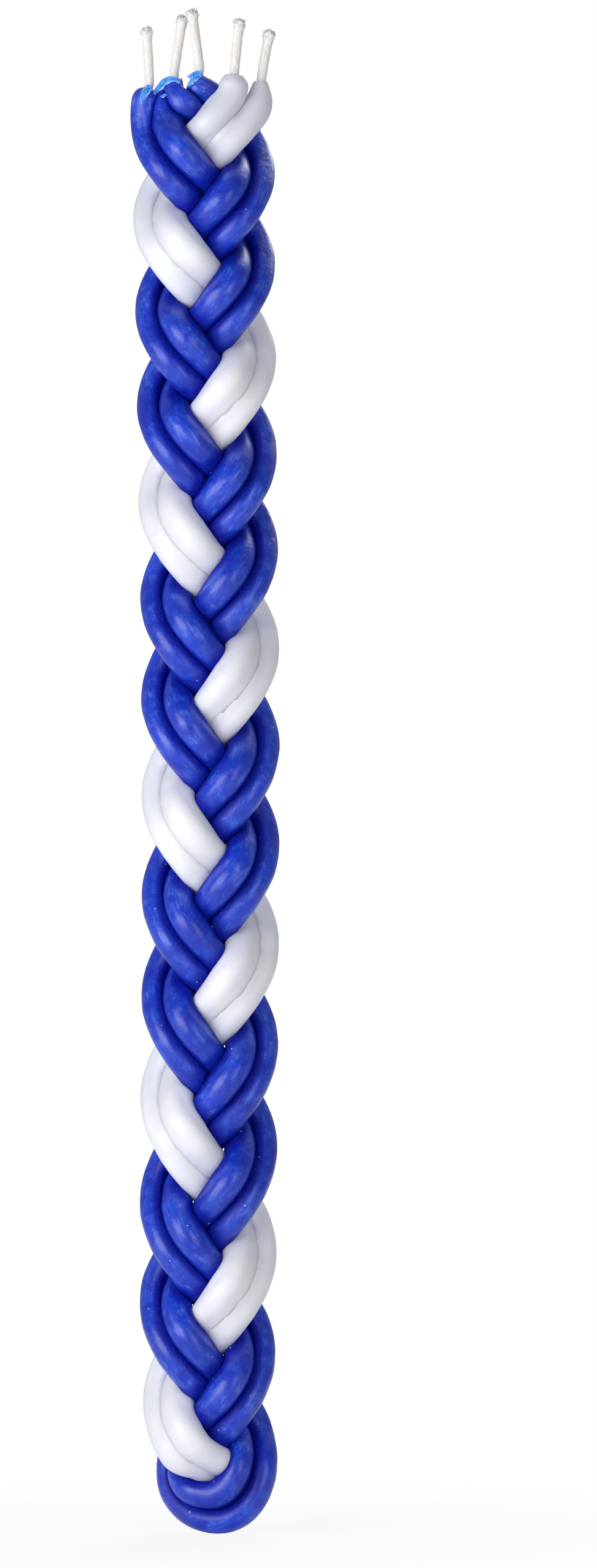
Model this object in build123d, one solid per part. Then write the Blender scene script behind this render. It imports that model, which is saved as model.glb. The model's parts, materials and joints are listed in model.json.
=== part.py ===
from build123d import *
import math
import os

# Braided havdalah candle: three pairs of wax tapers plaited together, bare wick ends on top.
# The foot stands at the origin, +Z runs up the candle and the front faces -Y. Millimetres throughout.

# Driving dimensions
WAX_LENGTH = 300.0          # foot of the fold to the highest taper top
TAPER_DIAMETER = 4.7        # one dipped taper
LAY_GAP = 0.2               # room between tapers where they press together
WICK_DIAMETER = 1.9         # cotton wick inside and above the wax
WICK_CLEARANCE = 0.05       # bore over wick, and bare wick over wax
SHOULDER_RADIUS = 1.1       # rounding of each taper end
END_RUN = 2.4               # straight length of taper at each free end
WICK_TIP_ROUNDING = 0.35    # rounding at the cut end of a bare wick

# Every place across the plait is counted in lays, so the tapers stay pressed together at any size.
LAY = TAPER_DIAMETER + LAY_GAP

# Plait proportions
HEAD_LAYS = 2.49            # highest top down to the first crossing
FOOT_LAYS = 3.53            # last crossing down to the foot
STEP_LAYS = 2.05            # wanted height of one crossing
TOP_STEP_SHARE = 0.88       # the plait is pulled tighter at the top
SETTLE_STEPS = 8.0          # crossings over which the tight start eases off
WIDTH_LAYS = 1.84           # swing of a pair to each side
DEPTH_LAYS = 1.13           # swing of a pair to the front and back
SPREAD_LAYS = 0.415         # half spacing of the two tapers of a pair at the edges
CROSS_SPREAD_LAYS = 0.094   # extra half spacing where a pair crosses
TILT_LAYS = 0.43            # how far the outer taper of a pair lies behind the inner one
TWIST_LAYS = -0.037         # small turn of the pair where it crosses
DEPTH_LAG = 0.28            # the depth wave trails the side wave, radians
START_PHASE = 2.703         # phase of the white pair at the first crossing, radians
WIDTH_POWER = 0.4           # tighter plaits are wider,
DEPTH_POWER = 3.0           # much deeper
SPREAD_POWER = 0.6          # and their pairs lie further apart
HALF_ROUND_STEPS = 3        # crossings after which a pair is on the other side
STATION_STEP = 0.5          # crossings between two stations of a path

# Small tolerances of the path making
NUDGE_STEPS = 0.01          # crossings either side of a point that give its heading
SAME_PLACE = 0.01           # two points nearer than this are one
STRAIGHT_WITHIN = 1e-9      # headings nearer than this make a straight run

# Three pairs, a third of a round apart
PAIR_PHASE = {
    "white": 0.0,
    "blue_a": 2 * math.pi / 3,
    "blue_b": -2 * math.pi / 3,
}
LEFT = -1
RIGHT = 1

# Free tops: place across the plait and depth below the highest top, in lays, the way down the taper,
# and the crossing count at which the taper joins the plait.
TOPS = {
    ("blue_a", LEFT): ((-2.44, 0.37, 0.67), (0.0, 0.0, -1.0), 0.3),
    ("blue_a", RIGHT): ((-1.78, -0.39, 1.10), (0.0, 0.0, -1.0), 0.3),
    ("blue_b", LEFT): ((-1.34, 0.53, 0.29), (0.42, 0.1, -0.9), 0.3),
    ("blue_b", RIGHT): ((-0.25, 0.33, 0.0), (0.42, 0.35, -0.85), 0.3),
    ("white", LEFT): ((1.09, -1.00, 0.20), (-0.25, -0.35, -1.0), 0.2),
    ("white", RIGHT): ((2.24, -0.40, 0.45), (-0.15, -0.35, -1.0), 0.1),
}

# Foot of each taper: the crossing, counted back from the last, where it leaves the plait, then the
# stations of its arm above the foot, in lays, with the way down the taper. This is the foot after an
# odd count of half rounds; after an even count it is the mirror image.
FEET = {
    ("blue_a", LEFT): (0.0, []),
    ("blue_a", RIGHT): (0.0, [((2.29, 0.08, 2.76), (-0.1, -0.25, -1.0))]),
    ("blue_b", LEFT): (0.3, [((-1.65, 1.52, 2.76), (0.0, -0.25, -1.0))]),
    ("blue_b", RIGHT): (0.2, [((-1.08, 0.60, 2.57), (0.0, -0.45, -1.0))]),
    ("white", LEFT): (0.0, [((-0.52, -0.70, 2.57), (0.7, 0.2, -0.6))]),
    ("white", RIGHT): (0.0, [((0.27, -0.74, 3.24), (0.7, 0.35, -0.6))]),
}

# The two blue tapers are folded in half: the middle of each fold across the plait, and its height
# above the outer fold, in lays. The outer fold stands on the foot.
OUTER_FOLD = (0.39, 0.04, 0.0)
INNER_FOLD = (0.12, -0.41, 1.07)
FOLD_HEADING = (1.0, -0.3, 0.0)

# Bare wick ends: length in millimetres, and lean to the right in degrees. The lowest of the six tops
# has its wick cut flush with the wax.
WICK_ENDS = {
    "wick_end_1": (("blue_a", LEFT), 11.1, -4.0),
    "wick_end_2": (("blue_b", LEFT), 12.6, 7.5),
    "wick_end_3": (("blue_b", RIGHT), 12.0, -6.0),
    "wick_end_4": (("white", LEFT), 10.8, 5.6),
    "wick_end_5": (("white", RIGHT), 10.2, 8.0),
}

# The plait between its head and its foot
plait_run = WAX_LENGTH - (HEAD_LAYS + FOOT_LAYS) * LAY
half_rounds = max(2, round(plait_run / (STEP_LAYS * LAY * HALF_ROUND_STEPS)))
last_step = half_rounds * HALF_ROUND_STEPS
foot_hand = 1 if half_rounds % 2 else -1
tight_loss = (1 - TOP_STEP_SHARE) * SETTLE_STEPS
full_step = plait_run / (last_step - tight_loss * (1 - math.exp(-last_step / SETTLE_STEPS)))

taper_radius = TAPER_DIAMETER / 2
wick_radius = WICK_DIAMETER / 2
bore_radius = wick_radius + WICK_CLEARANCE


def height_at(step):
    """Height of a crossing above the foot."""
    eased = step - tight_loss * (1 - math.exp(-step / SETTLE_STEPS))
    return WAX_LENGTH - HEAD_LAYS * LAY - full_step * eased


def step_height(step):
    """Local height of one crossing."""
    return full_step * (1 - (1 - TOP_STEP_SHARE) * math.exp(-step / SETTLE_STEPS))


def plait_point(pair, side, step):
    """Centre of one taper of a pair, at a crossing count."""
    height = step_height(step)
    tightness = 2 * LAY / height
    phase = START_PHASE + PAIR_PHASE[pair] + math.pi / 3 * step
    width = WIDTH_LAYS * LAY * tightness**WIDTH_POWER
    depth = DEPTH_LAYS * LAY * tightness**DEPTH_POWER
    lean = math.atan(width * math.cos(phase) * math.pi / (3 * height))
    spread = (SPREAD_LAYS + CROSS_SPREAD_LAYS * math.cos(phase) ** 2) * LAY * tightness**SPREAD_POWER
    tilt = (TILT_LAYS * math.sin(phase) + TWIST_LAYS * math.cos(phase)) * LAY
    x = width * math.sin(phase) + side * spread * math.cos(lean)
    y = depth * math.sin(2 * phase - DEPTH_LAG) + side * tilt
    z = height_at(step) + side * spread * math.sin(lean)
    return Vector(x, y, z)


def plait_station(pair, side, step):
    """Point of the plait with its heading down the taper."""
    ahead = plait_point(pair, side, step + NUDGE_STEPS)
    behind = plait_point(pair, side, step - NUDGE_STEPS)
    return plait_point(pair, side, step), (ahead - behind).normalized()


def top_point(key):
    """Centre of a taper's free top."""
    x, y, below = TOPS[key][0]
    return Vector(x * LAY, y * LAY, WAX_LENGTH - below * LAY)


def handed(place):
    """Place or heading at the foot, mirrored where the plait ends the other way round."""
    x, y, z = place
    return Vector(x * foot_hand, y, z)


def leg(key):
    """Stations of one taper from its free top down to its fold or its tucked end."""
    heading = Vector(*TOPS[key][1]).normalized()
    join_step = TOPS[key][2]
    steps_back, arm = FEET[key[0], key[1] * foot_hand]
    stations = [(top_point(key), heading), (top_point(key) + heading * END_RUN, heading)]
    leave_step = last_step - steps_back
    count = round((leave_step - join_step) / STATION_STEP)
    for index in range(count + 1):
        step = join_step + (leave_step - join_step) * index / count
        stations.append(plait_station(key[0], key[1], step))
    for place, way in arm:
        stations.append((handed(place) * LAY, handed(way).normalized()))
    return stations


def folded(side, fold_place):
    """Stations of a taper folded in half, from its top in one blue pair to its top in the other."""
    lift = Vector(0, 0, taper_radius)
    fold = (handed(fold_place) * LAY + lift, handed(FOLD_HEADING).normalized())
    upward = [(point, -heading) for point, heading in reversed(leg(("blue_a", -side * foot_hand)))]
    return leg(("blue_b", side * foot_hand)) + [fold] + upward


def tucked(key):
    """Stations of a white taper, whose foot ends in a short straight run inside the fold."""
    stations = leg(key)
    point, heading = stations[-1]
    return stations + [(point + heading * END_RUN, heading)]


def joint_of_arcs(start, start_way, end, end_way):
    """Point where two arcs meet, each tangent to its own end."""
    chord = end - start
    both = start_way + end_way
    turn = 2 * (1 - start_way.dot(end_way))
    reach = (math.sqrt(chord.dot(both) ** 2 + turn * chord.dot(chord)) - chord.dot(both)) / turn
    return (start + end + (start_way - end_way) * reach) / 2


def path_through(stations):
    """Smooth path of straight runs and pairs of tangent arcs."""
    edges = []
    for (start, start_way), (end, end_way) in zip(stations, stations[1:]):
        straight = (end - start).normalized()
        if straight.dot(start_way) > 1 - STRAIGHT_WITHIN:
            edges.append(Edge.make_line(start, end))
            continue
        middle = joint_of_arcs(start, start_way, end, end_way)
        first = Edge.make_tangent_arc(start, start_way, middle)
        edges.append(first)
        edges.append(Edge.make_tangent_arc(middle, first.tangent_at(1), end))
    return Wire(edges)


def rod(path, radius):
    """Round rod along a path."""
    start = Plane(origin=path.position_at(0), z_dir=path.tangent_at(0))
    return sweep(start * Circle(radius), path=path)


def taper(path):
    """Wax taper with rounded ends and a bore for its wick."""
    wax = rod(path, taper_radius)
    rims = [edge for edge in wax.edges().filter_by(GeomType.CIRCLE)
            if any((edge.arc_center - path.position_at(end)).length < SAME_PLACE for end in (0, 1))]
    wax = fillet(rims, min(SHOULDER_RADIUS, taper_radius - bore_radius - WICK_CLEARANCE))
    return wax - rod(path, bore_radius)


def wick_end(key, length, lean):
    """Bare wick standing on its taper, with a ball root that it bends on and a cut, rounded end."""
    stem = Cylinder(wick_radius, length - wick_radius, align=(Align.CENTER, Align.CENTER, Align.MIN))
    stem = fillet(stem.edges().sort_by(Axis.Z)[-1], WICK_TIP_ROUNDING)
    wick = stem + Sphere(wick_radius)
    return Pos(*wick_root(key)) * Rot(0, lean, 0) * wick


def wick_root(key):
    """Point that a bare wick bends about, just clear of the wax and in line with its taper."""
    way_down = Vector(*TOPS[key][1]).normalized()
    return top_point(key) - way_down * (wick_radius + WICK_CLEARANCE)


paths = {
    "blue_outer": path_through(folded(LEFT, OUTER_FOLD)),
    "blue_inner": path_through(folded(RIGHT, INNER_FOLD)),
    "white_left": path_through(tucked(("white", LEFT))),
    "white_right": path_through(tucked(("white", RIGHT))),
}

os.makedirs("parts", exist_ok=True)
for name, path in paths.items():
    export_step(taper(path), f"parts/{name}_taper.step")
    export_step(rod(path, wick_radius), f"parts/{name}_wick.step")
    print(name, "taper length", round(path.length, 1))
for name, (key, length, lean) in WICK_ENDS.items():
    export_step(wick_end(key, length, lean), f"parts/{name}.step")
    print(name, "bends about", [round(value, 3) for value in wick_root(key)])
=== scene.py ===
import json
import math
import random

import bmesh
import bpy
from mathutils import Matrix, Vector
from mathutils.bvhtree import BVHTree


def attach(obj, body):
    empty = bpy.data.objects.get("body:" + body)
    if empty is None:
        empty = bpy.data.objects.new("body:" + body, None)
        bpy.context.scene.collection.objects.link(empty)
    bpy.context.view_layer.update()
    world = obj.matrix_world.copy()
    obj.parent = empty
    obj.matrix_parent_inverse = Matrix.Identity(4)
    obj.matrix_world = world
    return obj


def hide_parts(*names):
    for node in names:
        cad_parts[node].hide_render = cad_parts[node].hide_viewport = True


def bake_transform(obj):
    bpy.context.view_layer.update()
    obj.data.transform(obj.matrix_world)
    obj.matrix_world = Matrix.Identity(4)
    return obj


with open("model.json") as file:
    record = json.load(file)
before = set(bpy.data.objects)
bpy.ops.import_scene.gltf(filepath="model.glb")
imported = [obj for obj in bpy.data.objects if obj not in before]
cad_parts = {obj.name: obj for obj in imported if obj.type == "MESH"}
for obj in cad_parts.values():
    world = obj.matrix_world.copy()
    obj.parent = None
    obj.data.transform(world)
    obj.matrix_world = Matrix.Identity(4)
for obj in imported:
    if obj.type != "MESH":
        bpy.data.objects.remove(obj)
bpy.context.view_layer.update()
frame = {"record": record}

mm = 0.001               # the sizes below are in millimetres, the scene is in metres
tiny = 1e-6              # keeps a division finite
joints = frame["record"]["behaviour"]["joints"]
hingePlace = {joint["name"]: Vector(joint["pos_m"]) / mm for joint in joints}


# One value that runs through a node tree, so that maths on it reads as plain Python
class Wire:
    def __init__(self, graph, socket):
        self.graph = graph
        self.socket = socket

    def maths(self, operation, *others):
        inputs = dict(enumerate((self, *others)))
        return self.graph.node("ShaderNodeMath", {"operation": operation}, inputs)[0]

    def __add__(self, other):
        return self.maths("ADD", other)

    def __sub__(self, other):
        return self.maths("SUBTRACT", other)

    def __rsub__(self, other):
        return self.graph.node("ShaderNodeMath", {"operation": "SUBTRACT"}, {0: other, 1: self})[0]

    def __mul__(self, other):
        return self.maths("MULTIPLY", other)

    def __truediv__(self, other):
        return self.maths("DIVIDE", other)

    def __gt__(self, other):
        return self.maths("GREATER_THAN", other)

    def __lt__(self, other):
        return self.maths("LESS_THAN", other)

    __radd__ = __add__
    __rmul__ = __mul__

    def clamp(self):
        return self.graph.node("ShaderNodeClamp", {}, {"Value": self})[0]

    def between(self, low, high):        # 0 at low, 1 at high, eased at both ends
        settings = {"interpolation_type": "SMOOTHSTEP"}
        return self.graph.node("ShaderNodeMapRange", settings, {0: self, 1: low, 2: high})[0]


class Graph:
    def __init__(self, tree):
        self.tree = tree

    def node(self, kind, settings, inputs):
        made = self.tree.nodes.new(kind)
        for name, value in settings.items():
            setattr(made, name, value)
        for name, value in inputs.items():
            self.put(made.inputs[name], value)
        return [Wire(self, socket) for socket in made.outputs if socket.enabled]

    def put(self, socket, value):
        if isinstance(value, Wire):
            self.tree.links.new(value.socket, socket)
        else:
            socket.default_value = value

    def vector(self, operation, *inputs):
        settings = {"operation": operation}
        return self.node("ShaderNodeVectorMath", settings, dict(enumerate(inputs)))[0]

    def scaled(self, vector, factor):
        return self.node("ShaderNodeVectorMath", {"operation": "SCALE"}, {0: vector, "Scale": factor})[0]

    def noise(self, place, scale, detail=3.0, rough=0.55):
        inputs = {"Vector": place, "Scale": scale, "Detail": detail, "Roughness": rough}
        return self.node("ShaderNodeTexNoise", {}, inputs)[0]

    def mixed(self, factor, first, second):
        settings = {"data_type": "RGBA", "clamp_factor": True}
        return self.node("ShaderNodeMix", settings, {0: factor, 6: first, 7: second})[0]

    def bump(self, strength, distance, height):
        inputs = {"Strength": strength, "Distance": distance, "Height": height}
        return self.node("ShaderNodeBump", {}, inputs)[0]


def srgb(red, green, blue):              # a colour as it shows on a screen, 0 to 255
    linear = []
    for level in (red, green, blue):
        level = level / 255
        linear.append(level / 12.92 if level <= 0.04045 else ((level + 0.055) / 1.055) ** 2.4)
    return (*linear, 1.0)


# The plait, as the part is laid out: places are counted in lays, the spacing of two pressed tapers
plait = {
    "waxLength": 300.0,
    "lay": 4.9,
    "headLays": 2.49,
    "footLays": 3.53,
    "lastStep": 27,
    "topStepShare": 0.88,
    "settleSteps": 8.0,
    "widthLays": 1.84,
    "depthLays": 1.13,
    "spreadLays": 0.47,
    "crossSpreadLays": 0.1,
    "tiltLays": 0.43,
    "twistLays": -0.037,
    "widthPower": 0.4,   # how width, depth and spread answer to a tighter plait
    "depthPower": 3,
    "spreadPower": 0.6,
    "depthLag": 0.28,
    "startPhase": 2.703,
    "stationStep": 0.25,
    "headingStep": 0.01,
    "endRun": 2.4,
    "bow": 0.9,          # slow bend of the hand-made plait to either side
    "bowLength": 165.0,
    "bowReach": 260.0,
    "slack": 2.0,        # the last rounds were pulled less tight and lie lower
    "slackAt": 255.0,
    "slackReach": 42.0,
    "footNarrow": 0.05,  # the plait closes in and shifts a little before the fold
    "footShift": 0.5,
    "footFrom": 245.0,
    "footRun": 35.0,
}
left, right = -1, 1
pairPhase = {"white": 0.0, "blueA": 2 * math.pi / 3, "blueB": -2 * math.pi / 3}
# free tops: place in lays with the depth below the highest top, the way down, the crossing where the
# taper joins the plait, and the stations of its neck before that
tops = {
    ("blueA", left): ((-2.45, 0.37, 0.62), (-0.22, 0.0, -1.0), 0.3, []),
    ("blueA", right): ((-1.90, 0.60, 0.56), (0.0, -0.15, -1.0), 0.35, [
        ((-1.86, 0.28, 1.70), (0.1, -0.35, -1.0))]),
    ("blueB", left): ((-1.46, 0.34, 0.24), (0.25, -0.1, -1.0), 0.5, [
        ((-1.00, 0.08, 1.40), (0.4, 0.4, -0.9))]),
    ("blueB", right): ((-0.76, 0.24, 0.47), (0.85, 0.2, -0.42), 0.3, []),
    ("white", left): ((1.15, -1.00, 0.24), (-0.12, -0.02, -1.0), 0.2, []),
    ("white", right): ((2.24, -0.40, 0.46), (-0.06, -0.02, -1.0), 0.1, []),
}
# feet: crossings left out before the last, then the arm's stations above the foot in lays
feet = {
    ("blueA", left): (0.0, []),
    ("blueA", right): (0.5, [((2.30, 0.10, 2.70), (-0.08, -0.3, -1.0))]),
    ("blueB", left): (0.4, [((-1.57, 1.52, 2.55), (0.0, -0.3, -1.0))]),
    ("blueB", right): (0.3, [((-1.08, 0.60, 2.60), (0.0, -0.45, -1.0))]),
    ("white", left): (0.2, [
        ((-0.40, -0.50, 2.94), (0.75, 0.5, -0.4)), ((0.22, 0.12, 2.70), (0.5, 0.85, -0.2))]),
    ("white", right): (0.2, [
        ((0.30, -0.80, 3.25), (0.75, 0.5, -0.45)), ((0.76, -0.12, 3.00), (0.4, 0.9, -0.2))]),
}
outerFold = (0.41, 0.04, 0.63)
innerFold = (0.12, -0.41, 1.68)
foldHeading = (1.0, -0.3, 0.0)

lay = plait["lay"]
tightLoss = (1 - plait["topStepShare"]) * plait["settleSteps"]
plaitRun = plait["waxLength"] - (plait["headLays"] + plait["footLays"]) * lay
easedSteps = plait["lastStep"] - tightLoss * (1 - math.exp(-plait["lastStep"] / plait["settleSteps"]))
fullStep = plaitRun / easedSteps


def plaitPoint(pair, side, step):
    easing = math.exp(-step / plait["settleSteps"])
    height = fullStep * (1 - (1 - plait["topStepShare"]) * easing)
    below = plait["headLays"] * lay + fullStep * (step - tightLoss * (1 - easing))
    below += plait["slack"] * math.exp(-(((below - plait["slackAt"]) / plait["slackReach"]) ** 2))
    tightness = 2 * lay / height
    phase = plait["startPhase"] + pairPhase[pair] + math.pi / 3 * step
    width = plait["widthLays"] * lay * tightness ** plait["widthPower"]
    depth = plait["depthLays"] * lay * tightness ** plait["depthPower"]
    lean = math.atan(width * math.cos(phase) * math.pi / (3 * height))
    spread = plait["spreadLays"] + plait["crossSpreadLays"] * math.cos(phase) ** 2
    spread = spread * lay * tightness ** plait["spreadPower"]
    tilt = (plait["tiltLays"] * math.sin(phase) + plait["twistLays"] * math.cos(phase)) * lay
    bow = -plait["bow"] * math.cos(math.pi * below / plait["bowLength"])
    bow = bow * math.exp(-((below / plait["bowReach"]) ** 2))
    closing = min(max((below - plait["footFrom"]) / plait["footRun"], 0.0), 1.0)
    closing = closing * closing * (3 - 2 * closing)
    x = width * math.sin(phase) + side * spread * math.cos(lean)
    x = x * (1 - plait["footNarrow"] * closing) + plait["footShift"] * closing + bow
    y = depth * math.sin(2 * phase - plait["depthLag"]) + side * tilt
    return Vector((x, y, plait["waxLength"] - below + side * spread * math.sin(lean)))


def belowTop(place, way):                # a station near the tops, from lays
    x, y, below = place
    return Vector((x * lay, y * lay, plait["waxLength"] - below * lay)), Vector(way).normalized()


def leg(key):                            # stations of one taper, from its top down: place and heading
    place, way, joinStep, neck = tops[key]
    top, heading = belowTop(place, way)
    stations = [(top, heading), (top + heading * plait["endRun"], heading)]
    stations += [belowTop(*station) for station in neck]
    stepsBack, arm = feet[key]
    leaveStep = plait["lastStep"] - stepsBack
    count = round((leaveStep - joinStep) / plait["stationStep"])
    for index in range(count + 1):
        step = joinStep + (leaveStep - joinStep) * index / count
        nearby = plait["headingStep"]
        ahead = plaitPoint(*key, step + nearby) - plaitPoint(*key, step - nearby)
        stations.append((plaitPoint(*key, step), ahead.normalized()))
    for place, way in arm:
        stations.append((Vector(place) * lay, Vector(way).normalized()))
    return stations


def folded(leftKey, fold, rightKey):
    turn = (Vector(fold) * lay, Vector(foldHeading).normalized())
    return leg(leftKey) + [turn] + [(place, -heading) for place, heading in reversed(leg(rightKey))]


def tucked(key):
    stations = leg(key)
    place, heading = stations[-1]
    return stations + [(place + heading * plait["endRun"], heading)]


def handleShare(first, second):          # of the chord, so that a turn comes out round
    turn = first.angle(second)
    nearlyStraight = 0.01
    return 1 / 3 if turn < nearlyStraight else math.tan(turn / 4) * 2 / (3 * math.sin(turn / 2))


def bezierLine(name, strands):           # one smooth spline through each list of stations
    curve = bpy.data.curves.new(name, "CURVE")
    curve.dimensions = "3D"
    curve.resolution_u = 12
    for stations in strands:
        spline = curve.splines.new("BEZIER")
        points = spline.bezier_points
        points.add(len(stations) - 1)
        for point, (place, heading) in zip(points, stations):
            point.handle_left_type = point.handle_right_type = "FREE"
            point.co = point.handle_left = point.handle_right = place * mm
        for index in range(len(stations) - 1):
            (start, startWay), (end, endWay) = stations[index:index + 2]
            reach = (end - start).length * handleShare(startWay, endWay)
            points[index].handle_right = (start + startWay * reach) * mm
            points[index + 1].handle_left = (end - endWay * reach) * mm
    line = bpy.data.objects.new(name, curve)
    bpy.context.collection.objects.link(line)
    return line


taperStations = {
    "blueOuter": folded(("blueB", left), outerFold, ("blueA", right)),
    "blueInner": folded(("blueB", right), innerFold, ("blueA", left)),
    "whiteLeft": tucked(("white", left)),
    "whiteRight": tucked(("white", right)),
}
# the six legs, for the press between them: a folded taper counts as two
foldTurns = {("blueB", left): outerFold, ("blueA", right): outerFold,
             ("blueB", right): innerFold, ("blueA", left): innerFold}
legLines = []
for key in tops:
    if key in foldTurns:
        heading = Vector(foldHeading).normalized() * (1 if key[0] == "blueB" else -1)
        legLines.append(leg(key) + [(Vector(foldTurns[key]) * lay, heading)])
    else:
        legLines.append(tucked(key))
allLegs = bezierLine("allLegs", legLines)


# Node tree helpers
def newTree(name, inputs):
    tree = bpy.data.node_groups.new(name, "GeometryNodeTree")
    tree.interface.new_socket("Geometry", in_out="OUTPUT", socket_type="NodeSocketGeometry")
    for label, kind in inputs.items():
        tree.interface.new_socket(label, in_out="INPUT", socket_type="NodeSocket" + kind)
    graph = Graph(tree)
    made = graph.node("NodeGroupInput", {}, {})
    return graph, dict(zip(inputs, made))


def captured(graph, geometry, values, domain="POINT"):
    made = graph.tree.nodes.new("GeometryNodeCaptureAttribute")
    made.domain = domain
    for label, (kind, value) in values.items():
        made.capture_items.new(kind, label)
    graph.put(made.inputs[0], geometry)
    for label, (kind, value) in values.items():
        graph.put(made.inputs[label], value)
    return [Wire(graph, made.outputs[name]) for name in ("Geometry", *values)]


def stored(graph, geometry, name, kind, value):
    settings = {"data_type": kind, "domain": "POINT"}
    inputs = {"Geometry": geometry, "Name": name, "Value": value}
    return graph.node("GeometryNodeStoreNamedAttribute", settings, inputs)[0]


def tubeParts(graph, line, spacing, sides, radius):      # a round tube with what is known at each point
    info = graph.node("GeometryNodeObjectInfo", {"transform_space": "RELATIVE"}, {"Object": line})
    evenly = {"Curve": info[-1], "Length": spacing}
    curve = graph.node("GeometryNodeResampleCurve", {"mode": "LENGTH"}, evenly)[0]
    place = graph.node("GeometryNodeInputPosition", {}, {})[0]
    share, run = graph.node("GeometryNodeSplineParameter", {}, {})[:2]
    known = {
        "centre": ("VECTOR", place),
        "heading": ("VECTOR", graph.node("GeometryNodeInputTangent", {}, {})[0]),
        "run": ("FLOAT", run),
        "whole": ("FLOAT", graph.node("GeometryNodeSplineLength", {}, {})[0]),
    }
    curve, centre, heading, run, whole = captured(graph, curve, known)
    ring = graph.node("GeometryNodeCurvePrimitiveCircle", {}, {0: sides, 4: radius})[0]
    ring, turn = captured(graph, ring, {"turn": ("FLOAT", share)})
    tube = graph.node("GeometryNodeCurveToMesh", {}, {0: curve, 1: ring, "Fill Caps": True})[0]
    outward = graph.vector("NORMALIZE", graph.vector("SUBTRACT", place, centre))
    return tube, place, centre, heading, run, whole, turn * (2 * math.pi), outward


def closeTree(graph, geometry, material):
    smooth = graph.node("GeometryNodeSetShadeSmooth", {}, {"Geometry": geometry})[0]
    plain = graph.node("GeometryNodeRealizeInstances", {}, {"Geometry": smooth})[0]
    dressed = graph.node("GeometryNodeSetMaterial", {}, {"Geometry": plain, "Material": material})[0]
    graph.node("NodeGroupOutput", {}, {0: dressed})


def grown(name, tree, values):           # runs a tree on an empty piece and keeps its mesh
    piece = bpy.data.objects.new(name, bpy.data.meshes.new(name))
    bpy.context.collection.objects.link(piece)
    modifier = piece.modifiers.new("grow", "NODES")
    modifier.node_group = tree
    labels = {item.name: item.identifier for item in tree.interface.items_tree if item.in_out == "INPUT"}
    for label, value in values.items():
        modifier[labels[label]] = value
    settled = piece.evaluated_get(bpy.context.evaluated_depsgraph_get())
    mesh = bpy.data.meshes.new_from_object(settled)
    piece.modifiers.clear()
    piece.data = mesh
    mesh.name = name
    return piece


# Tapers: round bars of soft wax that flatten where they press on their neighbours
taperForm = {
    "radius": 3.0,       # free round part
    "fill": 1.5,         # extra reach into the middle of the plait, which the soft wax closes
    "spacing": 0.4,      # between rings
    "sides": 32,
    "lumps": 0.16,       # hand-made unevenness
    "ownReach": 1.6,     # nearer lines than this belong to the taper itself
    "foldHeight": 18.0,  # about here the two legs of a folded taper become one bend
    "aboveFold": (0.8, 1.6),     # shares of that height where the fill sets in
    "inFold": (1.3, 0.8),        # shares of it where the two legs stop pressing on each other
    "foldEase": 20.0,
    "fillRun": (3.0, 9.0),       # from an end, where the fill sets in
    "pairRun": (5.0, 16.0),      # from the top, where a pair begins to share its groove
    "pairEnd": (1.0, 5.0),       # from the tucked end, where it does so too
    "grooveBlend": 0.7,
    "grooveGuard": 0.05,         # least squared sine, which keeps the level of the groove finite
    "looseRun": (4.0, 16.0),     # from an end, where the creases reach their full depth in the painted crease shade
    "loose": 0.5,
    "lumpScale": 0.16,
    "legSpacing": 0.4,
    "core": 0.12,                # least share of the radius, where presses meet
}
# how gently a press runs out, how far the wax joins there, and the level that fills the groove of a pair
waxForm = {
    "blue": {"softness": 0.5, "merge": 0.1, "groove": 0.0},
    "white": {"softness": 0.7, "merge": 0.48, "groove": 2.75},
}


def stretch(name):                       # the two ends of a run along a taper, in metres
    return [place * mm for place in taperForm[name]]


# share of the full radius near an end, and how far its rings slide
def taperEnd(along, shoulder, flat, dome):
    part = (along / shoulder).clamp()
    angle = part * (math.pi / 2)
    share = flat + (1 - flat) * angle.maths("SINE")
    return share, shoulder * dome * (1 - angle.maths("COSINE") - part)


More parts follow.
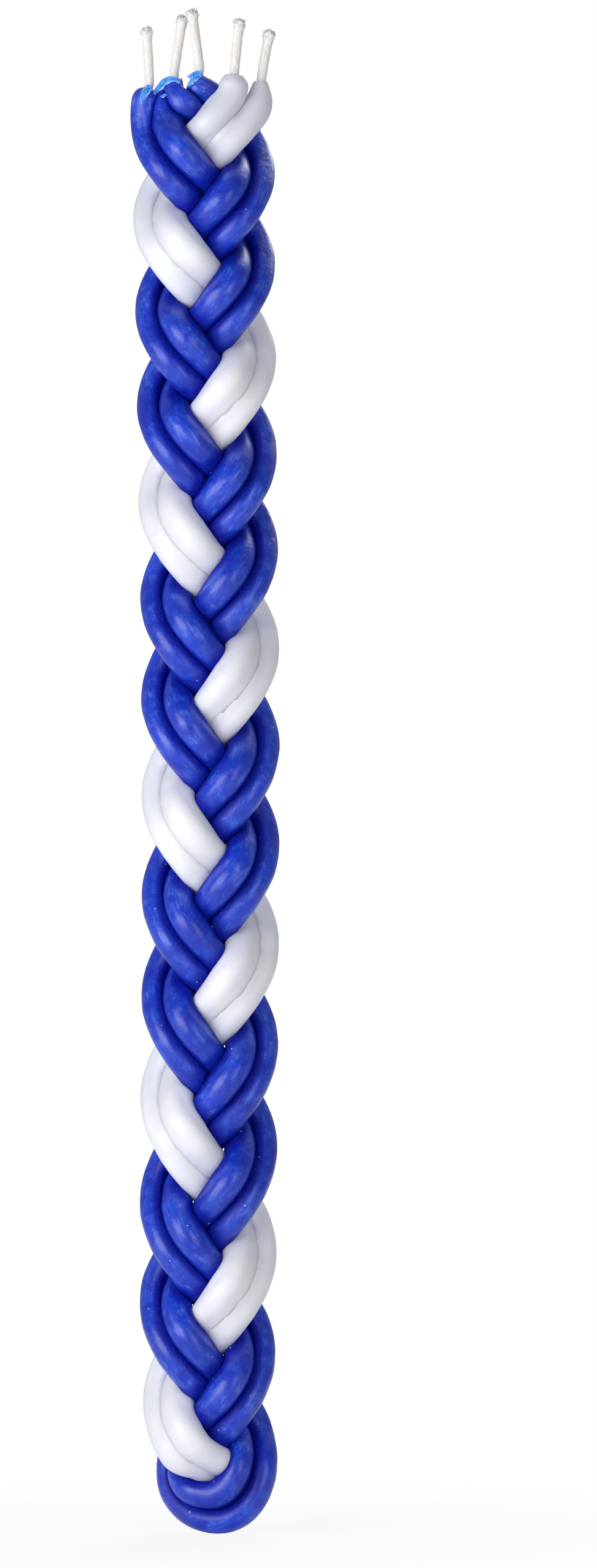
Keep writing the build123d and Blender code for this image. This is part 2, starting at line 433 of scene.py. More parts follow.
def pressedTaperTree():
    graph, given = newTree("pressedTaper", {
        "Line": "Object", "Legs": "Object", "Radius": "Float", "Fill": "Float", "Softness": "Float",
        "Spacing": "Float", "Sides": "Int", "StartShoulder": "Float", "StartFlat": "Float",
        "StartDome": "Float", "EndShoulder": "Float", "EndFlat": "Float", "EndDome": "Float",
        "Lumps": "Float", "OwnReach": "Float", "Merge": "Float", "Groove": "Float", "FoldHeight": "Float",
        "FirstLeg": "Int", "SecondLeg": "Int", "Partner": "Int", "Wax": "Material"})
    tube, place, centre, heading, run, whole, angle, outward = tubeParts(
        graph, given["Line"], given["Spacing"], given["Sides"], given["Radius"])
    startShare, startSlide = taperEnd(run, given["StartShoulder"], given["StartFlat"], given["StartDome"])
    endShare, endSlide = taperEnd(whole - run, given["EndShoulder"], given["EndFlat"], given["EndDome"])
    share = startShare * endShare
    core = graph.vector("ADD", centre, graph.scaled(heading, startSlide - endSlide))
    lump = graph.noise(graph.scaled(place, 1 / mm), taperForm["lumpScale"], 1.0, 0.4) - 0.5
    inward = graph.vector("NORMALIZE", graph.vector("MULTIPLY", centre, (-1.0, -1.0, 0.0)))
    facing = graph.vector("DOT_PRODUCT", inward, outward).maths("MAXIMUM", 0.0)
    height = graph.node("ShaderNodeSeparateXYZ", {}, {0: centre})[2]
    fromEnd = run.maths("MINIMUM", whole - run)
    aboveFold = height.between(*[given["FoldHeight"] * part for part in taperForm["aboveFold"]])
    settledIn = fromEnd.between(*stretch("fillRun")) * aboveFold
    paired = run.between(*stretch("pairRun")) * (whole - run).between(*stretch("pairEnd"))
    free = given["Radius"] * share + lump * given["Lumps"] * 2 * share
    free = free + given["Fill"] * facing * settledIn

    legs = graph.node("GeometryNodeObjectInfo", {"transform_space": "RELATIVE"}, {"Object": given["Legs"]})
    legCurve = graph.node("GeometryNodeResampleCurve", {"mode": "LENGTH"}, {
        "Curve": legs[-1], "Length": taperForm["legSpacing"] * mm})[0]
    number = graph.node("GeometryNodeInputIndex", {}, {})[0]
    legCurve, legNumber = captured(graph, legCurve, {"leg": ("INT", number)}, "CURVE")
    legPoints = graph.node("GeometryNodeCurveToMesh", {}, {0: legCurve})[0]

    inFold = height.between(*[given["FoldHeight"] * part for part in taperForm["inFold"]])
    bending = inFold * taperForm["foldEase"] * mm
    reach = free
    for sweep in range(2):               # the second sweep looks from the pressed surface
        probe = graph.vector("ADD", core, graph.scaled(outward, reach))
        reach = free
        limits = []
        for other in range(len(tops)):
            nearest = graph.node("GeometryNodeProximity", {"target_element": "POINTS"}, {
                0: legPoints, "Group ID": legNumber, "Sample Position": probe, "Sample Group ID": other})[0]
            across = graph.vector("SUBTRACT", nearest, core)
            gap = graph.vector("LENGTH", across)
            toward = graph.vector("DOT_PRODUCT", across, outward).maths("MAXIMUM", tiny)
            ownLeg = given["FirstLeg"].maths("COMPARE", other, 0.5)
            ownLeg = ownLeg + given["SecondLeg"].maths("COMPARE", other, 0.5)
            limit = gap * gap / (toward * 2) + (gap < given["OwnReach"]) + ownLeg * bending
            pairing = given["Partner"].maths("COMPARE", other, 0.5) * paired
            lean = toward / gap
            aside = (1 - lean * lean).maths("MAXIMUM", taperForm["grooveGuard"]).maths("SQRT")
            level = given["Groove"] * pairing / aside
            # a pair of whites shares a shallow groove
            reach = reach.maths("SMOOTH_MAX", level, taperForm["grooveBlend"] * mm)
            limits.append(limit)
        crease = limits[0]
        for limit in limits:
            reach = reach.maths("SMOOTH_MIN", limit + given["Merge"], given["Softness"])
            crease = crease.maths("MINIMUM", limit)
    reach = reach.maths("MAXIMUM", given["Radius"] * taperForm["core"])
    settled = graph.vector("ADD", core, graph.scaled(outward, reach))
    shape = graph.node("GeometryNodeSetPosition", {}, {"Geometry": tube, "Position": settled})[0]
    strand = graph.node("ShaderNodeCombineXYZ", {}, {
        0: angle.maths("COSINE"), 1: angle.maths("SINE"), 2: run / mm})[0]
    shape = stored(graph, shape, "strand", "FLOAT_VECTOR", strand)
    # 1 in a crease and more away from it, the mask of the painted crease shade; the loose tops have
    # shallower creases, so less shade is painted there
    loose = taperForm["loose"] - fromEnd.between(*stretch("looseRun")) * taperForm["loose"]
    shape = stored(graph, shape, "crease", "FLOAT", crease / free + loose)
    closeTree(graph, shape, given["Wax"])
    return graph.tree


# Wicks: cotton cords, plain inside the wax, flared and frayed where they were cut
wickForm = {
    "radius": 1.0,
    "flare": 1.26,       # radius of the frayed tip
    "flareRun": 3.0,
    "tipRun": 0.7,       # rounded cut end
    "rag": 1.1,
    "relief": 0.035,     # ridges of the braided threads
    "fibres": 1.5e6,     # loose threads for each square metre of tip
    "spacing": 0.12,     # between rings
    "sides": 28,
    "threadTurn": 2.4,   # radians of the braid for each millimetre
    "tuftScale": 1.3,
    "liftScale": 2.1,
    "leastRadius": 0.1,
    "hairTip": 0.03,     # one loose thread: radius at its tip and root, length, and range of sizes
    "hairRoot": 0.08,
    "hairLength": 0.5,
    "hairSizes": (0.5, 1.3),
    "hairOut": 0.45,     # how far it leans outward, up the wick and at random
    "hairUp": 0.9,
    "hairSpread": 0.6,
    "rootDepth": 2.0,    # how far the cord goes on down into the wax
    "straightRun": 0.8,  # above the hinge
    "bendRun": (0.8, 1.6),       # below and above the hinge
}
# the same cord inside the wax
innerWickForm = {
    **wickForm, "flare": wickForm["radius"], "flareRun": 1.0, "tipRun": 0.1, "rag": 0.0, "fibres": 0.0,
    "spacing": 1.2, "sides": 10,
}
# bare ends: the taper each stands on, length, lean to the right and to the back in degrees, and how far
# its tip curls right
wickEnds = {
    1: (("blueA", left), 11.4, -1.5, 0.0, -0.3),
    2: (("blueB", left), 12.3, 8.4, 3.0, 0.1),
    3: (("blueB", right), 12.0, -7.6, -3.0, 0.0),
    4: (("white", left), 10.3, 5.6, 0.0, 0.1),
    5: (("white", right), 9.6, 8.5, 0.0, 0.35),
}


def frayedWickTree():
    graph, given = newTree("frayedWick", {
        "Line": "Object", "Radius": "Float", "Flare": "Float", "FlareRun": "Float", "TipRun": "Float",
        "Rag": "Float", "Relief": "Float", "Fibres": "Float", "Spacing": "Float", "Sides": "Int",
        "Seed": "Int", "Cotton": "Material"})
    tube, place, centre, heading, run, whole, angle, outward = tubeParts(
        graph, given["Line"], given["Spacing"], given["Sides"], given["Radius"])
    near = whole - run
    flared = near.between(given["FlareRun"], given["FlareRun"] * 0.15)
    close = 1 - (near / given["TipRun"]).clamp()
    dome = (1 - close * close).maths("SQRT").maths("MAXIMUM", 0.2)
    thread = run * (wickForm["threadTurn"] / mm)
    braid = (angle * 2 + thread).maths("SINE") * (angle * 2 - thread).maths("SINE")
    grain = graph.scaled(place, 1 / mm)
    tuft = graph.noise(grain, wickForm["tuftScale"], 3.0, 0.7) - 0.5
    radius = given["Radius"] + (given["Flare"] - given["Radius"]) * flared
    radius = radius * dome + braid * given["Relief"] + tuft * flared * given["Rag"] * 0.5
    lift = (graph.noise(grain, wickForm["liftScale"], 3.0, 0.7) - 0.5) * given["Rag"] * flared * 2
    core = graph.vector("ADD", centre, graph.scaled(heading, lift))
    radius = radius.maths("MAXIMUM", wickForm["leastRadius"] * mm)
    settled = graph.vector("ADD", core, graph.scaled(outward, radius))
    cord = graph.node("GeometryNodeSetPosition", {}, {"Geometry": tube, "Position": settled})[0]
    scatter = {"Mesh": cord, "Selection": flared > 0.5, "Density": given["Fibres"], "Seed": given["Seed"]}
    points, normal = graph.node("GeometryNodeDistributePointsOnFaces", {}, scatter)[:2]
    wide = wickForm["hairSpread"]
    spread = graph.node("FunctionNodeRandomValue", {"data_type": "FLOAT_VECTOR"}, {
        0: (-wide, -wide, -wide), 1: (wide, wide, wide), "Seed": given["Seed"]})[0]
    lean = graph.scaled(normal, wickForm["hairOut"])
    lean = graph.vector("ADD", lean, graph.scaled(heading, wickForm["hairUp"]))
    lean = graph.vector("ADD", lean, spread)
    turned = graph.node("FunctionNodeAlignRotationToVector", {"axis": "Z"}, {"Vector": lean})[0]
    smallest, largest = wickForm["hairSizes"]
    size = graph.node("FunctionNodeRandomValue", {"data_type": "FLOAT"}, {
        2: smallest, 3: largest, "Seed": given["Seed"]})[0]
    hair = graph.node("GeometryNodeMeshCone", {}, {
        "Vertices": 4, "Radius Top": wickForm["hairTip"] * mm, "Radius Bottom": wickForm["hairRoot"] * mm,
        "Depth": wickForm["hairLength"] * mm})[0]
    fibres = graph.node("GeometryNodeInstanceOnPoints", {}, {
        "Points": points, "Instance": hair, "Rotation": turned, "Scale": size})[0]
    joined = graph.tree.nodes.new("GeometryNodeJoinGeometry")
    graph.put(joined.inputs[0], cord)
    graph.put(joined.inputs[0], fibres)
    closeTree(graph, Wire(graph, joined.outputs[0]), given["Cotton"])
    return graph.tree


# Materials
def newMaterial(name, settings):
    material = bpy.data.materials.new(name)
    material.use_nodes = True
    shader = material.node_tree.nodes["Principled BSDF"]
    for socket, value in settings.items():
        shader.inputs[socket].default_value = value
    return Graph(material.node_tree), shader, material


def objectPlace(graph):                  # output 3 is the place in the object's own frame
    return graph.node("ShaderNodeTexCoord", {}, {})[3]


def attribute(graph, name, output):      # output 1 is its vector, 2 its value
    return graph.node("ShaderNodeAttribute", {"attribute_name": name}, {})[output]


blueWaxLook = {
    "deep": srgb(2, 38, 178),
    "middle": srgb(8, 60, 210),
    "pale": srgb(30, 90, 226),
    # partly real whitish bloom on the wax and partly painted highlight
    "filmAndSheen": srgb(136, 164, 234),
    # painted shade: dark navy that is mixed into the creases, where the tapers shade each other
    "crease": srgb(0, 10, 150),
    "speck": srgb(214, 222, 240),
}


def blueWax():
    look = blueWaxLook
    graph, shader, material = newMaterial("blueWax", {
        "IOR": 1.45, "Specular IOR Level": 0.22, "Subsurface Weight": 0.05, "Subsurface Scale": 0.002,
        "Coat Roughness": 0.3})
    place = objectPlace(graph)
    strand = attribute(graph, "strand", 1)
    crease = attribute(graph, "crease", 2).between(2.3, 1.06)
    broad = graph.noise(place, 120.0, 3.0)
    cloudy = graph.noise(place, 420.0, 4.0, 0.6)
    streaks = graph.noise(graph.vector("MULTIPLY", strand, (3.0, 3.0, 0.22)), 2.2, 4.0, 0.65)
    fine = graph.noise(graph.vector("MULTIPLY", strand, (9.0, 9.0, 0.5)), 3.0, 3.0, 0.7)
    colour = graph.mixed(broad.between(0.3, 0.7), look["deep"], look["middle"])
    colour = graph.mixed(cloudy.between(0.4, 0.75) * 0.55, colour, look["pale"])
    # pale streaky patches, partly real bloom and partly painted highlight, kept out of the creases
    filmAndSheen = streaks.between(0.45, 0.72) * cloudy.between(0.35, 0.65) * broad.between(0.35, 0.6)
    filmAndSheen = filmAndSheen * (1 - crease)
    colour = graph.mixed(filmAndSheen * 0.45, colour, look["filmAndSheen"])
    # painted shade in the creases, strongest where the tapers press together
    colour = graph.mixed(crease * 0.88, colour, look["crease"])
    dots = graph.node("ShaderNodeTexVoronoi", {}, {"Vector": place, "Scale": 520.0})
    speck = (0.12 - dots[0]).between(0.0, 0.08) * (graph.noise(place, 300.0, 1.0) > 0.64)
    colour = graph.mixed(speck * 0.8, colour, look["speck"])
    graph.put(shader.inputs["Base Color"], colour)
    graph.put(shader.inputs["Roughness"], 0.2 + cloudy * 0.24 + filmAndSheen * 0.1 + crease * 0.3)
    graph.put(shader.inputs["Coat Weight"], (0.6 + fine * 0.6) * (1 - crease))
    height = cloudy * 0.8 + fine * 0.06 + streaks * 0.3 + graph.noise(place, 1200.0, 2.0) * 0.3
    graph.put(shader.inputs["Normal"], graph.bump(1.0, 0.0006, height))
    return material


whiteWaxLook = {
    "light": srgb(243, 244, 253),
    "shade": srgb(230, 232, 246),
    # painted shade: greyer lavender for the creases and the groove of the pair
    "crease": srgb(206, 209, 232),
    "stain": srgb(200, 212, 244),
    "shadedTop": srgb(214, 215, 228),         # painted shade: greyer towards the tops, where less light falls
    "shadedTopFrom": 0.262,
    "shadedTopTo": 0.292,
}


def whiteWax():
    look = whiteWaxLook
    graph, shader, material = newMaterial("whiteWax", {
        "IOR": 1.44, "Subsurface Weight": 0.45, "Subsurface Scale": 0.003, "Coat Roughness": 0.35,
        "Subsurface Radius": (1.0, 1.0, 1.2)})
    place = objectPlace(graph)
    strand = attribute(graph, "strand", 1)
    crease = attribute(graph, "crease", 2).between(1.5, 1.0)
    broad = graph.noise(place, 110.0, 2.0)
    cloudy = graph.noise(place, 380.0, 4.0, 0.6)
    streaks = graph.noise(graph.vector("MULTIPLY", strand, (3.0, 3.0, 0.25)), 2.0, 3.0, 0.6)
    colour = graph.mixed(broad.between(0.3, 0.7), look["shade"], look["light"])
    colour = graph.mixed(cloudy.between(0.4, 0.8) * 0.3, colour, look["light"])
    # painted shade in the creases and the groove between the two whites
    colour = graph.mixed(crease * 0.35, colour, look["crease"])
    stain = graph.noise(place, 240.0, 2.0).between(0.68, 0.78) * 0.35
    colour = graph.mixed(stain, colour, look["stain"])
    height = graph.node("ShaderNodeSeparateXYZ", {}, {0: place})[2]
    # painted shade: the white turns greyer towards the tops
    colour = graph.mixed(height.between(look["shadedTopFrom"], look["shadedTopTo"]) * 0.8, colour, look["shadedTop"])
    graph.put(shader.inputs["Base Color"], colour)
    graph.put(shader.inputs["Roughness"], 0.34 + cloudy * 0.14)
    graph.put(shader.inputs["Coat Weight"], 0.1 + streaks * 0.2)
    relief = cloudy * 0.4 + streaks * 0.4 + graph.noise(place, 1300.0, 2.0) * 0.1
    graph.put(shader.inputs["Normal"], graph.bump(0.5, 0.0003, relief))
    return material


cottonLook = {
    "thread": srgb(248, 247, 245),
    "shadow": srgb(222, 220, 216),
    "waxed": srgb(238, 236, 232),
}


def wickCotton():
    look = cottonLook
    graph, shader, material = newMaterial("wickCotton", {
        "IOR": 1.45, "Subsurface Weight": 0.25, "Subsurface Scale": 0.001})
    place = objectPlace(graph)
    fibres = graph.noise(graph.vector("MULTIPLY", place, (1.0, 1.0, 0.25)), 2600.0, 3.0, 0.7)
    patches = graph.noise(place, 700.0, 2.0)
    colour = graph.mixed(fibres.between(0.3, 0.7), look["shadow"], look["thread"])
    colour = graph.mixed(patches.between(0.35, 0.7) * 0.6, colour, look["waxed"])
    graph.put(shader.inputs["Base Color"], colour)
    graph.put(shader.inputs["Roughness"], 0.85 - patches * 0.3)
    graph.put(shader.inputs["Normal"], graph.bump(0.4, 0.0001, fibres))
    return material


smearLook = {
    "body": srgb(40, 130, 240),
    "bright": srgb(96, 176, 255),
    "edge": srgb(222, 238, 255),
    "hollow": srgb(10, 50, 150),
}


def smearWax():
    look = smearLook
    graph, shader, material = newMaterial("smearWax", {"IOR": 1.44, "Coat Roughness": 0.3})
    place = objectPlace(graph)
    stroke = attribute(graph, "stroke", 1)
    sides = attribute(graph, "sideways", 2)
    brushed = graph.noise(graph.vector("MULTIPLY", stroke, (2.6, 0.35, 1.0)), 2.0, 3.0, 0.6)
    grain = graph.noise(place, 1800.0, 3.0, 0.6)
    colour = graph.mixed(brushed.between(0.35, 0.62), look["body"], look["bright"])
    colour = graph.mixed(brushed.between(0.42, 0.3) * 0.6, colour, look["hollow"])
    pale = sides.between(0.45, 0.9) * grain.between(0.4, 0.6)
    colour = graph.mixed(pale * 0.9, colour, look["edge"])
    graph.put(shader.inputs["Base Color"], colour)
    graph.put(shader.inputs["Roughness"], 0.3 + grain * 0.25)
    graph.put(shader.inputs["Coat Weight"], 0.15 + brushed * 0.2)
    graph.put(shader.inputs["Normal"], graph.bump(0.6, 0.0003, brushed + grain * 0.3))
    return material


blueWaxSkin = blueWax()
whiteWaxSkin = whiteWax()
cottonSkin = wickCotton()
smearSkin = smearWax()
print("materials made")

pressTree = pressedTaperTree()
wickTree = frayedWickTree()


def wickAlong(name, line, form, seed):
    return grown(name, wickTree, {
        "Line": line, "Radius": form["radius"] * mm, "Flare": form["flare"] * mm,
        "FlareRun": form["flareRun"] * mm, "TipRun": form["tipRun"] * mm, "Rag": form["rag"] * mm,
        "Relief": form["relief"] * mm, "Fibres": form["fibres"], "Spacing": form["spacing"] * mm,
        "Sides": form["sides"], "Seed": seed, "Cotton": cottonSkin})


# each taper: its CAD nodes, its wax, the shoulder, flat and dome of its first and last end, and its legs
taperPieces = {
    "blueOuter": ("blue_outer", "blue", (3.0, 0.15, 1), (4.5, 0.2, 1), ("blueB", left), ("blueA", right)),
    "blueInner": ("blue_inner", "blue", (2.2, 0.42, 1), (3.0, 0.15, 1), ("blueB", right), ("blueA", left)),
    "whiteLeft": ("white_left", "white", (2.2, 0.64, 0), (2.6, 0.3, 1), ("white", left), None),
    "whiteRight": ("white_right", "white", (6.0, 0.48, 0), (2.6, 0.3, 1), ("white", right), None),
}
waxSkins = {"blue": blueWaxSkin, "white": whiteWaxSkin}
legOrder = list(tops)
tapers = []
for name, (node, wax, start, end, firstLeg, secondLeg) in taperPieces.items():
    line = bezierLine(name + "Line", [taperStations[name]])
    form = waxForm[wax]
    taper = grown(name + "Taper", pressTree, {
        "Line": line, "Legs": allLegs, "Radius": taperForm["radius"] * mm, "Fill": taperForm["fill"] * mm,
        "Softness": form["softness"] * mm, "Merge": form["merge"] * mm, "Groove": form["groove"] * mm,
        "Spacing": taperForm["spacing"] * mm, "Sides": taperForm["sides"],
        "StartShoulder": start[0] * mm, "StartFlat": start[1], "StartDome": float(start[2]),
        "EndShoulder": end[0] * mm, "EndFlat": end[1], "EndDome": float(end[2]),
        "Lumps": taperForm["lumps"] * mm, "OwnReach": taperForm["ownReach"] * mm,
        "FoldHeight": taperForm["foldHeight"] * mm, "FirstLeg": legOrder.index(firstLeg),
        "SecondLeg": legOrder.index(secondLeg) if secondLeg else -1,
        "Partner": legOrder.index((firstLeg[0], -firstLeg[1])), "Wax": waxSkins[wax]})
    core = wickAlong(name + "Wick", line, innerWickForm, 1)
    for piece, part, finish in ((taper, "_taper", wax + "_wax"), (core, "_wick", "wick_cotton")):
        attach(piece, "candle")
        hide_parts(node + part)
    tapers.append(taper)
    bpy.data.objects.remove(line)
    print(name, "taper faces", len(taper.data.polygons), "wick faces", len(core.data.polygons))
bpy.data.objects.remove(allLegs)


# Bare wick ends, which rise from their roots at the hinge places
def wickStations(key, root, length, lean, back, curl):
    top, heading = belowTop(*tops[key][:2])
    way = Vector((math.tan(math.radians(lean)), math.tan(math.radians(back)), 1)).normalized()
    tip = root + way * length + Vector((curl, 0, 0))
    tipWay = (way + Vector((curl * 2 / length, 0, 0))).normalized()
    start = top + heading * wickForm["rootDepth"]
    return [(start, way), (root + way * wickForm["straightRun"], way), (tip, tipWay)]


for number, (key, *bearing) in wickEnds.items():
    root = hingePlace[f"bend_{number}"]
    stations = wickStations(key, root, *bearing)
    line = bezierLine(f"wickLine{number}", [stations])
    wick = wickAlong(f"wickEnd{number}", line, wickForm, number)
    way = stations[1][1]
    lower, upper = wickForm["bendRun"]
    (root - way * lower) * mm
    (root + way * upper) * mm
    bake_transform(wick)
    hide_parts(f"wick_end_{number}")
    bpy.data.objects.remove(line)
    print(f"wick end {number} faces", len(wick.data.polygons))


# Smears of light blue wax over the blue tops: strokes seen from the front, as X, depth below the
# highest top and half width
smearForm = {
    "thickness": 0.34,
    "sink": 0.35,
    "rows": 44,
    "columns": 13,
    "waver": 0.16,       # uneven edges
    "slope": 0.9,        # steepest drop of a stroke, which bridges the gap between two tops
    "even": 9,           # rows either side that share a facing
    "knots": 10,         # along each uneven edge
    "aheadShare": 0.02,  # of the stroke, to either side, between which its heading is taken
    "lookFrom": 40.0,    # in front of the candle, where a look at the wax starts
    "lookReach": 60.0,
    "missDepth": -1.0,   # from here the nearest wax is sought where the look misses
    "blunt": 0.04,       # share of the stroke at each end that isn't thinned further
    "endPower": 0.4,
    "ridge": 0.25,       # brush ridges: their share of the thickness, and how they run
    "ridgeAcross": 7,
    "ridgeAlong": 5,
    "rimSink": 0.03,
    "markLength": 8,     # of the brush marks along a stroke
}
smearStrokes = {
    "smearLeft": [(-11.6, 3.0, 0.6), (-12.3, 3.8, 0.85), (-13.2, 5.2, 0.65), (-13.65, 6.7, 0.2)],
    "smearArch": [(-10.9, 4.65, 0.25), (-10.1, 3.5, 0.6), (-9.0, 2.25, 0.75), (-7.65, 1.6, 0.65),
                  (-6.3, 1.83, 0.55), (-5.6, 2.5, 0.2)],
    "smearHookTop": [(-1.2, 0.5, 0.5), (-2.0, 0.5, 0.6), (-2.9, 0.65, 0.6), (-4.0, 1.1, 0.3)],
    "smearHookTail": [(-1.7, 1.0, 0.35), (-2.4, 1.5, 0.5), (-3.2, 2.2, 0.5), (-4.17, 3.2, 0.25)],
    "smearDab": [(-8.3, 4.8, 0.2), (-8.9, 5.0, 0.32), (-9.6, 5.2, 0.15)],
}


def surfaceTree(pieces):
    points = []
    faces = []
    for piece in pieces:
        start = len(points)
        points.extend(vertex.co.copy() for vertex in piece.data.vertices)
        faces.extend([start + index for index in face.vertices] for face in piece.data.polygons)
    return BVHTree.FromPolygons(points, faces)


def strokeAt(stroke, share):             # place and half width along a stroke, by smooth steps
    along = share * (len(stroke) - 1)
    index = min(int(along), len(stroke) - 2)
    part = along - index
    knots = (min(max(index + step, 0), len(stroke) - 1) for step in (-1, 0, 1, 2))
    before, start, end, after = (Vector(stroke[knot]) for knot in knots)
    return (start * 2 + (end - before) * part + (before * 2 - start * 5 + end * 4 - after) * part**2
            + (start * 3 - before - end * 3 + after) * part**3) / 2


# the wax seen from the front at a place, or else that place at the depth of the nearest wax
def onWax(surface, x, below):
    place = Vector((x, -smearForm["lookFrom"], plait["waxLength"] - below)) * mm
    hit, normal, face, reach = surface.ray_cast(place, Vector((0, 1, 0)), smearForm["lookReach"] * mm)
    if hit is None:
        place.y = smearForm["missDepth"] * mm
        nearest, normal, face, reach = surface.find_nearest(place)
        hit = Vector((place.x, nearest.y, place.z))
    return hit, normal


def smearCells(stroke, seed):            # the cells of a stroke: row, share, side, reach, X and depth below
    chance = random.Random(seed)
    rows, columns = smearForm["rows"], smearForm["columns"]
    wobble = [[chance.uniform(-1, 1) for knot in range(smearForm["knots"] + 2)] for side in range(2)]
    cells = []
    for row in range(rows):
        share = row / (rows - 1)
        x, below, half = strokeAt(stroke, share)
        nearby = smearForm["aheadShare"]
        ahead = strokeAt(stroke, min(share + nearby, 1)) - strokeAt(stroke, max(share - nearby, 0))
        across = Vector((-ahead.y, ahead.x)).normalized()
        knot = share * smearForm["knots"]
        for column in range(columns):
            side = column / (columns - 1) * 2 - 1
            edge = wobble[0 if side < 0 else 1]
            waver = edge[int(knot)] + (edge[int(knot) + 1] - edge[int(knot)]) * (knot - int(knot))
            reach = side * (half + abs(side) * waver * smearForm["waver"])
            cells.append((row, share, side, reach, x + across.x * reach, below + across.y * reach))
    return cells


def smear(name, stroke, surface, seed):
    rows, columns = smearForm["rows"], smearForm["columns"]
    cells = smearCells(stroke, seed)
    hits = [onWax(surface, x, below) for row, share, side, reach, x, below in cells]
    shape = bmesh.new()
    strokeLayer = shape.verts.layers.float_vector.new("stroke")
    sidewaysLayer = shape.verts.layers.float.new("sideways")
    outer = []
    inner = []
    for index, (row, share, side, reach, x, below) in enumerate(cells):
        near = range(max(row - smearForm["even"], 0), min(row + smearForm["even"] + 1, rows))
        around = [hits[other * columns + index % columns] for other in near]
        normal = sum((normal for hit, normal in around), Vector()).normalized()
        hit = hits[index][0].copy()
        hit.y = min(other.y + (other.xz - hit.xz).length * smearForm["slope"] for other, facing in hits)
        along = min(max(share, smearForm["blunt"]), 1 - smearForm["blunt"])
        thinned = math.sin(math.pi * along) ** smearForm["endPower"]
        dome = math.sqrt(max(0.0, 1 - side * side)) * thinned
        mark = math.sin(side * smearForm["ridgeAcross"] + share * smearForm["ridgeAlong"] + seed)
        ridge = 1 - smearForm["ridge"] + smearForm["ridge"] * mark
        raised = smearForm["thickness"] * dome * ridge - smearForm["rimSink"]
        high = shape.verts.new(hit + normal * raised * mm)
        low = shape.verts.new(hit - normal * smearForm["sink"] * mm)
        for vertex in (high, low):
            vertex[strokeLayer] = Vector((reach, share * smearForm["markLength"], seed))
            vertex[sidewaysLayer] = abs(side)
        outer.append(high)
        inner.append(low)
    for row in range(rows - 1):
        for column in range(columns - 1):
            first = row * columns + column
            loop = (first, first + 1, first + columns + 1, first + columns)
            shape.faces.new([outer[index] for index in loop])
            shape.faces.new([inner[index] for index in reversed(loop)])
    rim = list(range(columns))
    rim += [row * columns + columns - 1 for row in range(1, rows)]
    rim += [(rows - 1) * columns + column for column in range(columns - 2, -1, -1)]
    rim += [row * columns for row in range(rows - 2, 0, -1)]
    for first, second in zip(rim, rim[1:] + rim[:1]):
        shape.faces.new((outer[second], outer[first], inner[first], inner[second]))
    bmesh.ops.recalc_face_normals(shape, faces=shape.faces)
    for face in shape.faces:
        face.smooth = True
    mesh = bpy.data.meshes.new(name)
    shape.to_mesh(mesh)
    shape.free()
    mesh.materials.append(smearSkin)
    piece = bpy.data.objects.new(name, mesh)
    bpy.context.collection.objects.link(piece)
    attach(piece, "candle")


waxSurface = surfaceTree(tapers)
for seed, (name, stroke) in enumerate(smearStrokes.items()):
    smear(name, stroke, waxSurface, seed)
print("smears laid")


# Stage: pale floor and backdrop, soft lamps, and the camera at the photograph's view
stageForm = {
    "photoWidth": 974,
    "photoHeight": 2560,
    "mmPerPixel": 0.12563,
    "axisColumn": 338.5,     # pixel column of the candle's axis
    "waxTopRow": 117,        # pixel row of the highest wax
    "distance": 1700.0,
    "sensor": 36.0,
    "shadowShare": 0.12,     # of the lit floor in what the camera sees near the foot, the rest is white
    "shadowNear": 0.02,
    "shadowFar": 0.16,
    "roomLight": 0.22,
    "floorSize": 6.0,
    "lampAim": (0, 0, 0.15),
}
# soft lamps: place and size in metres, and watts
lamps = {
    "keyLamp": ((-0.64, -0.64, 0.31), (0.8, 0.58), 6.4),
    "fillLamp": ((0.49, -0.76, 0.3), (0.4, 0.56), 1.7),
    "backLamp": ((0.2, 0.9, 0.8), (0.8, 0.6), 6),
}


def stageMaterial():
    graph, shader, material = newMaterial("paleFloor", {
        "Base Color": (0.95, 0.95, 0.95, 1.0), "Roughness": 0.9})
    nodes = material.node_tree.nodes
    rays = nodes.new("ShaderNodeLightPath")
    glow = nodes.new("ShaderNodeEmission")
    glow.inputs["Color"].default_value = (1, 1, 1, 1)
    mix = nodes.new("ShaderNodeMixShader")
    place = objectPlace(graph)
    away = graph.node("ShaderNodeVectorMath", {"operation": "LENGTH"}, {0: place})[0]
    nearFoot = away.between(stageForm["shadowFar"], stageForm["shadowNear"]) * stageForm["shadowShare"]
    graph.put(mix.inputs[0], Wire(graph, rays.outputs["Is Camera Ray"]) * (1 - nearFoot))
    material.node_tree.links.new(shader.outputs[0], mix.inputs[1])
    material.node_tree.links.new(glow.outputs[0], mix.inputs[2])
    material.node_tree.links.new(mix.outputs[0], nodes["Material Output"].inputs[0])
    return material


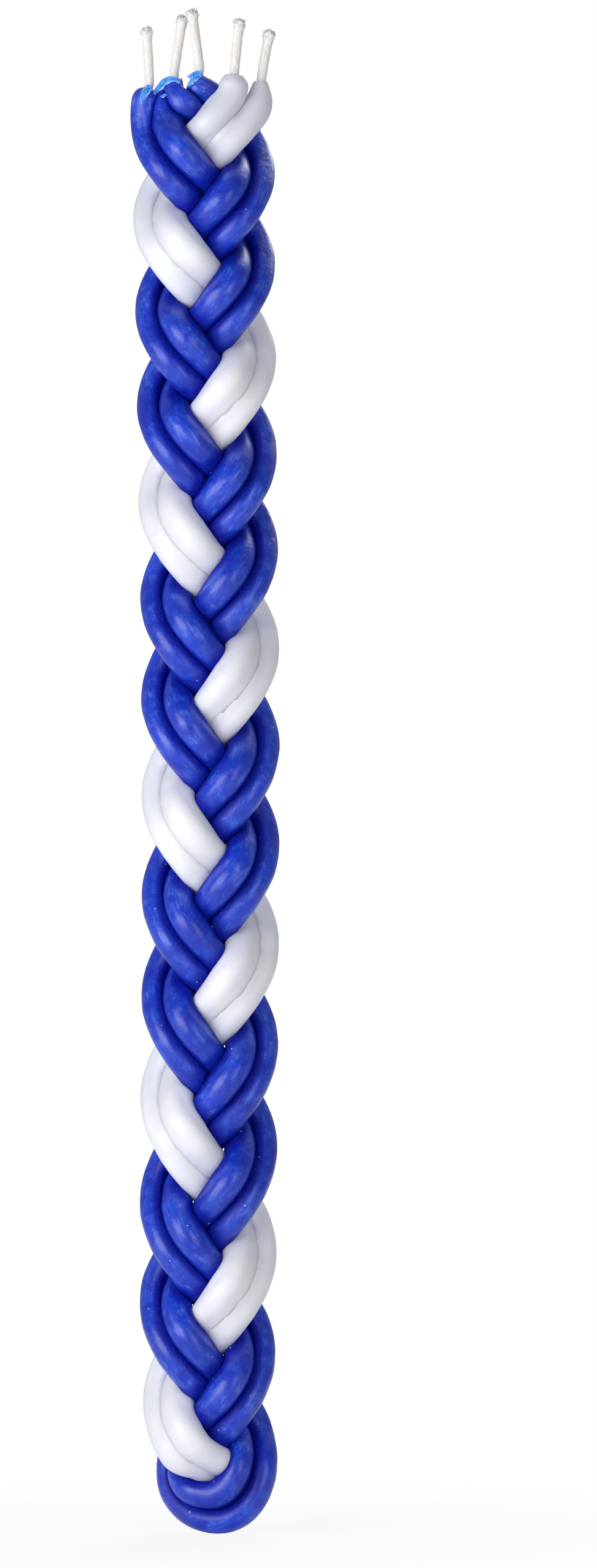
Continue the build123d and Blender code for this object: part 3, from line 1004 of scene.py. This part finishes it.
def stageFloor():
    mesh = bpy.data.meshes.new("floor")
    shape = bmesh.new()
    bmesh.ops.create_grid(shape, x_segments=1, y_segments=1, size=stageForm["floorSize"])
    shape.to_mesh(mesh)
    shape.free()
    floor = bpy.data.objects.new("floor", mesh)
    bpy.context.collection.objects.link(floor)
    mesh.materials.append(stageMaterial())


def stageWorld():
    world = bpy.data.worlds.new("studio")
    bpy.context.scene.world = world
    world.use_nodes = True
    graph = Graph(world.node_tree)
    nodes = world.node_tree.nodes
    rays = nodes.new("ShaderNodeLightPath")
    seen = Wire(graph, rays.outputs["Is Camera Ray"])
    dim = stageForm["roomLight"]
    graph.put(nodes["Background"].inputs["Strength"], dim + seen * (1 - dim))
    nodes["Background"].inputs["Color"].default_value = (1, 1, 1, 1)


def softLamp(name, place, size, watts):
    lamp = bpy.data.lights.new(name, "AREA")
    lamp.shape = "RECTANGLE"
    lamp.size, lamp.size_y = size
    lamp.energy = watts
    holder = bpy.data.objects.new(name, lamp)
    bpy.context.collection.objects.link(holder)
    holder.location = place
    holder.rotation_mode = "QUATERNION"
    aim = Vector(stageForm["lampAim"]) - Vector(place)
    holder.rotation_quaternion = aim.to_track_quat("-Z", "Y")


def photoCamera():
    form = stageForm
    lens = bpy.data.cameras.new("camera")
    lens.sensor_width = form["sensor"]
    lens.lens = form["distance"] * form["sensor"] / (form["photoHeight"] * form["mmPerPixel"])
    lens.dof.use_dof = False
    camera = bpy.data.objects.new("camera", lens)
    bpy.context.collection.objects.link(camera)
    across = (form["photoWidth"] / 2 - form["axisColumn"]) * form["mmPerPixel"]
    middleRow = form["photoHeight"] / 2 - form["waxTopRow"]
    up = plait["waxLength"] - middleRow * form["mmPerPixel"]
    camera.location = Vector((across, -form["distance"], up)) * mm
    camera.rotation_euler = (math.pi / 2, 0, 0)
    bpy.context.scene.camera = camera


stageFloor()
stageWorld()
for name, lamp in lamps.items():
    softLamp(name, *lamp)
photoCamera()
bpy.context.scene.view_settings.view_transform = "Standard"
print("stage set")
